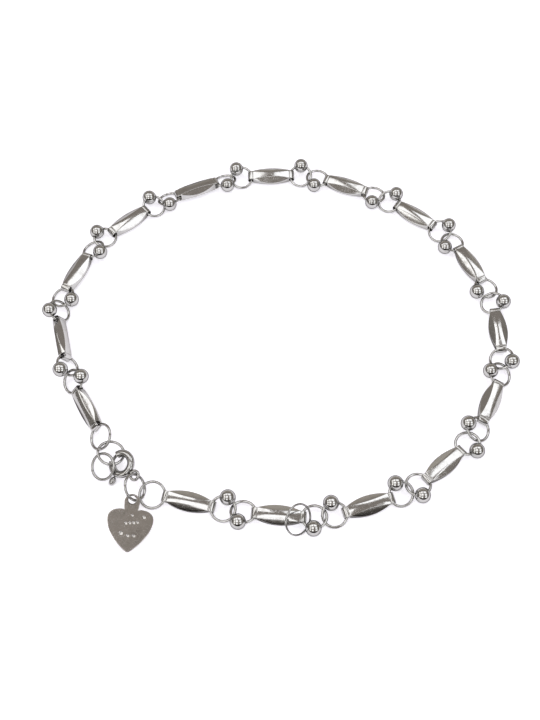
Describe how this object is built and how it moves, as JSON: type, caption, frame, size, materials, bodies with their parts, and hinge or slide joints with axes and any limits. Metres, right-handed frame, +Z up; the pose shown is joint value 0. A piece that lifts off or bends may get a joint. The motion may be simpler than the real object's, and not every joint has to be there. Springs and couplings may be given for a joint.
{
  "type": "bracelet",
  "caption": "Pillow-shaped bar links joined by paired ball rings, closed by a spring ring clasp with a heart tag, lying as an open loop.",
  "frame": {"origin": "middle of the loop's outline on the surface it lies on", "axes": "+Z up from the surface, +X along the loop's longer way with the clasp at -X, -Y the side where the heart tag lies"},
  "size_m": [0.0796, 0.0744, 0.0041],
  "materials": {
    "bars": "polished sterling silver with worn edges",
    "rings_and_balls": "polished sterling silver wire and balls",
    "clasp": "polished sterling silver, tarnished in the hollows",
    "tag": "satin-worn sterling silver sheet"
  },
  "bodies": {
    "bracelet": {"bar_link_01": "bars", "bar_link_02": "bars", "bar_link_03": "bars", "bar_link_04": "bars", "bar_link_05": "bars", "bar_link_06": "bars", "bar_link_07": "bars", "bar_link_08": "bars", "bar_link_09": "bars", "bar_link_10": "bars", "bar_link_11": "bars", "bar_link_12": "bars", "bar_link_13": "bars", "bar_link_14": "bars", "bar_link_15": "bars", "ball_ring_01_out": "rings_and_balls", "ball_ring_02_in": "rings_and_balls", "ball_ring_02_out": "rings_and_balls", "ball_ring_03_in": "rings_and_balls", "ball_ring_03_out": "rings_and_balls", "ball_ring_04_in": "rings_and_balls", "ball_ring_04_out": "rings_and_balls", "ball_ring_05_in": "rings_and_balls", "ball_ring_05_out": "rings_and_balls", "ball_ring_06_in": "rings_and_balls", "ball_ring_06_out": "rings_and_balls", "ball_ring_07_in": "rings_and_balls", "ball_ring_07_out": "rings_and_balls", "ball_ring_08_in": "rings_and_balls", "ball_ring_08_out": "rings_and_balls", "ball_ring_09_in": "rings_and_balls", "ball_ring_09_out": "rings_and_balls", "ball_ring_10_in": "rings_and_balls", "ball_ring_10_out": "rings_and_balls", "ball_ring_11_in": "rings_and_balls", "ball_ring_11_out": "rings_and_balls", "ball_ring_12_in": "rings_and_balls", "ball_ring_12_out": "rings_and_balls", "ball_ring_13_in": "rings_and_balls", "ball_ring_13_out": "rings_and_balls", "ball_ring_14_in": "rings_and_balls", "ball_ring_14_out": "rings_and_balls", "ball_ring_15_in": "rings_and_balls", "jump_ring_bar_01": "rings_and_balls", "jump_ring_catch": "rings_and_balls", "jump_ring_spare": "rings_and_balls", "jump_ring_tag": "rings_and_balls", "jump_ring_bar_15": "rings_and_balls", "side_ring": "rings_and_balls", "spring_ring_body": "clasp", "heart_tag": "tag"},
    "trigger": {"spring_ring_trigger": "clasp"}
  },
  "joints": [
    {"name": "trigger_slide", "type": "hinge", "parent": "bracelet", "child": "trigger", "pos_m": [-0.02455, -0.02348, 0.00184], "axis": [-0.4106, -0.2276, 0.8829], "range_deg": [0, 50], "stiffness_Nm_per_rad": 0.002, "springref_deg": -17.19}
  ]
}
